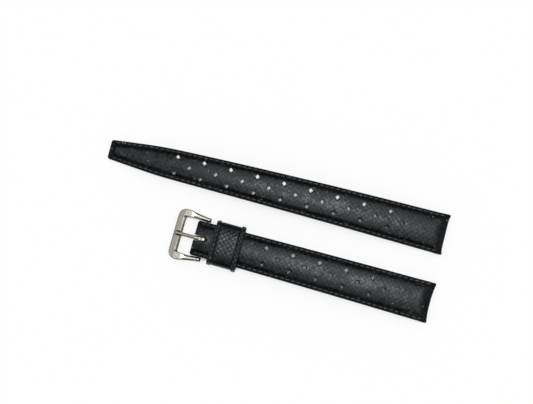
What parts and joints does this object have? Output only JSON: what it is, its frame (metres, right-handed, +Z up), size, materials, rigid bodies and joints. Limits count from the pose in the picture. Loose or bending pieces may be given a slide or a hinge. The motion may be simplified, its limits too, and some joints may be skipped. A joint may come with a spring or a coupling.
{
  "type": "watch strap",
  "caption": "Two-piece black rubber dive strap with diamond holes, moulded weave and stitch rows, a loose keeper and a steel pin buckle on a spring bar",
  "frame": {"origin": "on the table, below the middle of both halves together", "axes": "+X points along the short half from its buckle to its lug end, +Y points from the short half to the long half, +Z is up"},
  "size_m": [0.1407, 0.0464, 0.0084],
  "materials": {
    "rubber": "satin, moulded weave",
    "brushed_steel": "brushed",
    "polished_steel": "polished"
  },
  "bodies": {
    "short_half": {"short_strap": "rubber", "spring_bar_tube": "polished_steel", "spring_bar_spring": "polished_steel"},
    "buckle": {"buckle_frame": "brushed_steel"},
    "tongue": {"buckle_tongue": "polished_steel"},
    "keeper_loop": {"keeper": "rubber"},
    "tip_near": {"spring_bar_tip_near": "polished_steel"},
    "tip_far": {"spring_bar_tip_far": "polished_steel"},
    "long_half": {"long_strap": "rubber"}
  },
  "joints": [
    {"name": "buckle_swing", "type": "hinge", "parent": "short_half", "child": "buckle", "pos_m": [-0.0241, -0.0128, 0.00279], "axis": [0, 1, 0], "range_deg": [-70, 15]},
    {"name": "tongue_lift", "type": "hinge", "parent": "buckle", "child": "tongue", "pos_m": [-0.0241, -0.0128, 0.00279], "axis": [0, 1, 0], "range_deg": [0, 92]},
    {"name": "keeper_slide", "type": "slide", "parent": "short_half", "child": "keeper_loop", "axis": [1, 0, 0], "range_m": [-0.0005, 0.028]},
    {"name": "tip_near_press", "type": "slide", "parent": "short_half", "child": "tip_near", "axis": [0, 1, 0], "range_m": [0, 0.0011], "stiffness_N_per_m": 300, "springref_m": -0.002, "deforming": ["spring_bar_spring"]},
    {"name": "tip_far_press", "type": "slide", "parent": "short_half", "child": "tip_far", "axis": [0, -1, 0], "range_m": [0, 0.0011], "stiffness_N_per_m": 300, "springref_m": -0.002, "deforming": ["spring_bar_spring"]},
    {"name": "long_half_lift", "type": "slide", "parent": "short_half", "child": "long_half", "axis": [0, 0, 1], "range_m": [0, 0.03]}
  ]
}
